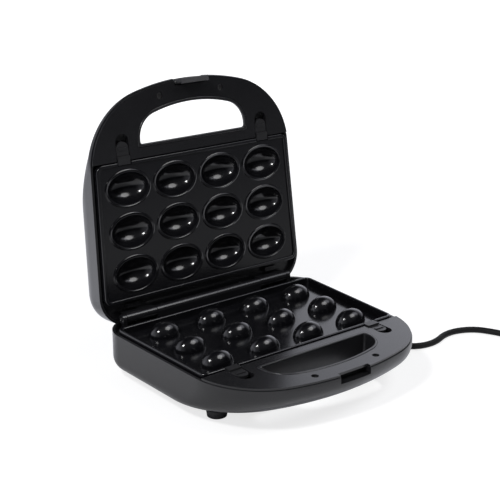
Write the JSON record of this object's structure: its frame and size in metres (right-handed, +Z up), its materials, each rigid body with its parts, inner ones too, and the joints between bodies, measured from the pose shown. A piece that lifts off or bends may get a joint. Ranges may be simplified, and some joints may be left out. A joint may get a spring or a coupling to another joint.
{
  "type": "cake pop maker",
  "caption": "Hinged countertop cooker with domed and cupped baking plates, a handle on each half, a front latch and a coiled power lead.",
  "frame": {"origin": "middle of the maker's footprint, lid open and lead left out, on the plane that its feet stand on", "axes": "+Z up, -Y towards the handles at the front, +X to the right of someone facing the front; the lid's hinge axis runs along X"},
  "size_m": [0.4665, 0.3239, 0.2556],
  "materials": {
    "housing_plastic": "satin black moulded plastic",
    "inner_plastic": "satin black moulded plastic, slightly glossier than the housings",
    "nonstick_coating": "semi-gloss black non-stick coating on cast aluminium",
    "heater_steel": "dull oxidised heater sheath",
    "pan_steel": "plain zinc-plated sheet",
    "screw_steel": "zinc-plated screw",
    "thermostat_body": "brown phenolic",
    "fuse_body": "bare metal",
    "ceramic": "unglazed ceramic",
    "lead_insulation": "pale silicone and glass-fibre sleeve",
    "bush_rubber": "matt black flexible moulding",
    "foot_rubber": "matt black rubber",
    "hinge_steel": "ground steel pin",
    "catch_plastic": "satin dark grey plastic",
    "red_lens": "clear red tint",
    "green_lens": "clear green tint",
    "circuit_board": "bare phenolic board",
    "latch_plastic": "satin black plastic",
    "cord_sheath": "soft black PVC",
    "plug_moulding": "moulded black PVC",
    "plug_brass": "nickel-plated brass"
  },
  "bodies": {
    "base": {"base_shell": "housing_plastic", "base_frame": "inner_plastic", "lower_plate": "nonstick_coating", "lower_heater": "heater_steel", "lower_reflector": "pan_steel", "lower_reflector_screws": "screw_steel", "lower_frame_screws": "screw_steel", "thermostat": "thermostat_body", "thermal_fuse": "fuse_body", "terminal_block": "ceramic", "lower_wires": "lead_insulation", "mains_leads": "lead_insulation", "cord_clamp": "inner_plastic", "cord_bush": "bush_rubber", "front_left_foot": "foot_rubber", "front_right_foot": "foot_rubber", "rear_left_foot": "foot_rubber", "rear_right_foot": "foot_rubber", "foot_screws": "screw_steel", "left_hinge_pin": "hinge_steel", "right_hinge_pin": "hinge_steel", "power_cord": "cord_sheath", "cord_coil": "cord_sheath", "plug_body": "plug_moulding", "plug_blades": "plug_brass"},
    "lid": {"lid_shell": "housing_plastic", "lid_frame": "inner_plastic", "upper_plate": "nonstick_coating", "upper_heater": "heater_steel", "upper_reflector": "pan_steel", "upper_reflector_screws": "screw_steel", "upper_wires": "lead_insulation", "upper_frame_screws": "screw_steel", "power_lamp_lens": "red_lens", "ready_lamp_lens": "green_lens", "lamp_board": "circuit_board", "latch_pin": "hinge_steel"},
    "latch": {"latch": "latch_plastic"},
    "lower_left_catch": {"lower_left_catch": "catch_plastic"},
    "lower_right_catch": {"lower_right_catch": "catch_plastic"},
    "upper_left_catch": {"upper_left_catch": "catch_plastic"},
    "upper_right_catch": {"upper_right_catch": "catch_plastic"}
  },
  "joints": [
    {"name": "lid_hinge", "type": "hinge", "parent": "base", "child": "lid", "pos_m": [0, 0.07817, 0.048], "axis": [1, 0, 0], "range_deg": [0, 96.5]},
    {"name": "latch_pivot", "type": "hinge", "parent": "lid", "child": "latch", "pos_m": [0, 0.10586, 0.25047], "axis": [1, 0, 0], "range_deg": [0, 13.8]},
    {"name": "lower_left_catch_slide", "type": "slide", "parent": "base", "child": "lower_left_catch", "axis": [0, -1, 0], "range_m": [0, 0.004], "stiffness_N_per_m": 300, "springref_m": -0.002},
    {"name": "lower_right_catch_slide", "type": "slide", "parent": "base", "child": "lower_right_catch", "axis": [0, -1, 0], "range_m": [0, 0.004], "stiffness_N_per_m": 300, "springref_m": -0.002},
    {"name": "upper_left_catch_slide", "type": "slide", "parent": "lid", "child": "upper_left_catch", "axis": [0, 0.1132, 0.9936], "range_m": [0, 0.004], "stiffness_N_per_m": 300, "springref_m": -0.002},
    {"name": "upper_right_catch_slide", "type": "slide", "parent": "lid", "child": "upper_right_catch", "axis": [0, 0.1132, 0.9936], "range_m": [0, 0.004], "stiffness_N_per_m": 300, "springref_m": -0.002}
  ]
}
